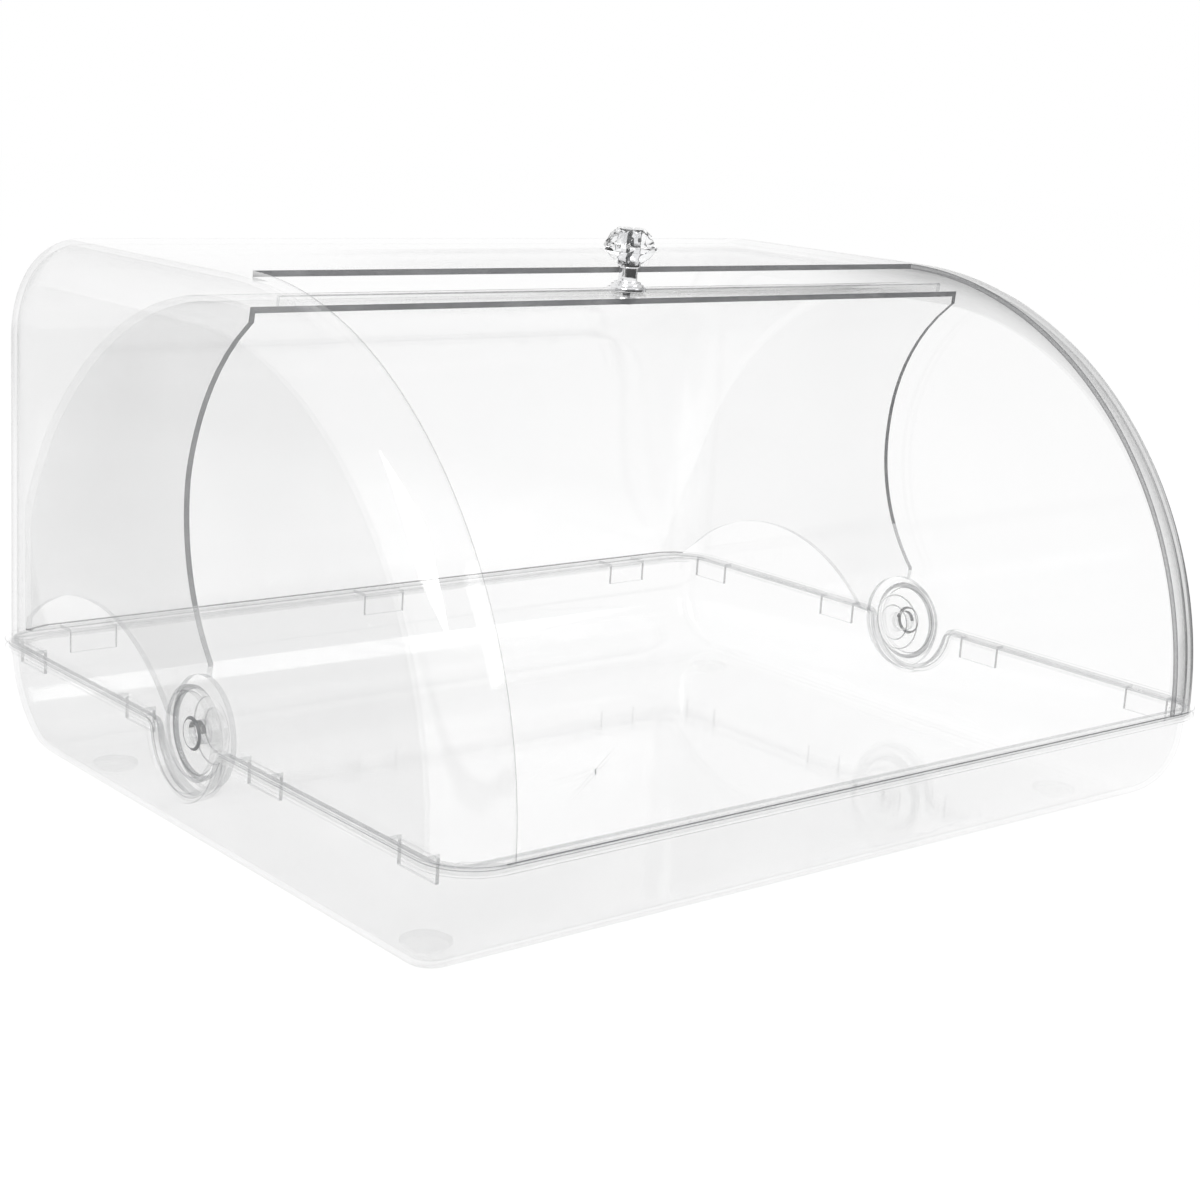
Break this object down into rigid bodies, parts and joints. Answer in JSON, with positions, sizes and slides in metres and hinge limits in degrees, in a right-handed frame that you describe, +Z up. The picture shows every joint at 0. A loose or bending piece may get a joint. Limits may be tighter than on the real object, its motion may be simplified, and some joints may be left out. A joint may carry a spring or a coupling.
{
  "type": "countertop bread display bin",
  "caption": "Clear countertop bread display bin: scooped tray, lift-off hood, and a curved lid with a crystal knob that swings back under the hood.",
  "frame": {"origin": "on the table, under the middle of the tray, level with the undersides of the feet", "axes": "+X to the right seen from the front, +Y to the back, +Z up; the open front faces -Y"},
  "size_m": [0.518, 0.437, 0.3039],
  "materials": {
    "clear_tray": "clear polished moulded plastic",
    "clear_hood": "clear polished moulded plastic",
    "clear_lid": "clear polished moulded plastic",
    "clear_pivot": "clear polished moulded plastic",
    "soft_foot": "translucent soft rubber",
    "crystal": "faceted clear crystal",
    "chrome": "polished chrome",
    "gasket": "thin clear rubber"
  },
  "bodies": {
    "tray_body": {"tray": "clear_tray", "foot_front_left": "soft_foot", "foot_front_right": "soft_foot", "foot_back_left": "soft_foot", "foot_back_right": "soft_foot"},
    "hood_body": {"hood": "clear_hood", "pivot_pin_left": "clear_pivot", "pivot_pin_right": "clear_pivot", "pivot_cap_left": "clear_pivot", "pivot_cap_right": "clear_pivot"},
    "lid_body": {"lid": "clear_lid", "knob_crystal": "crystal", "knob_neck": "chrome", "knob_base": "chrome", "knob_gasket": "gasket", "knob_washer": "chrome", "knob_screw": "chrome"}
  },
  "joints": [
    {"name": "hood_lift", "type": "slide", "parent": "tray_body", "child": "hood_body", "axis": [0, 0, 1], "range_m": [0, 0.12]},
    {"name": "lid_hinge", "type": "hinge", "parent": "hood_body", "child": "lid_body", "pos_m": [0, 0.0046, 0.062], "axis": [1, 0, 0], "range_deg": [0, 83.5]}
  ]
}
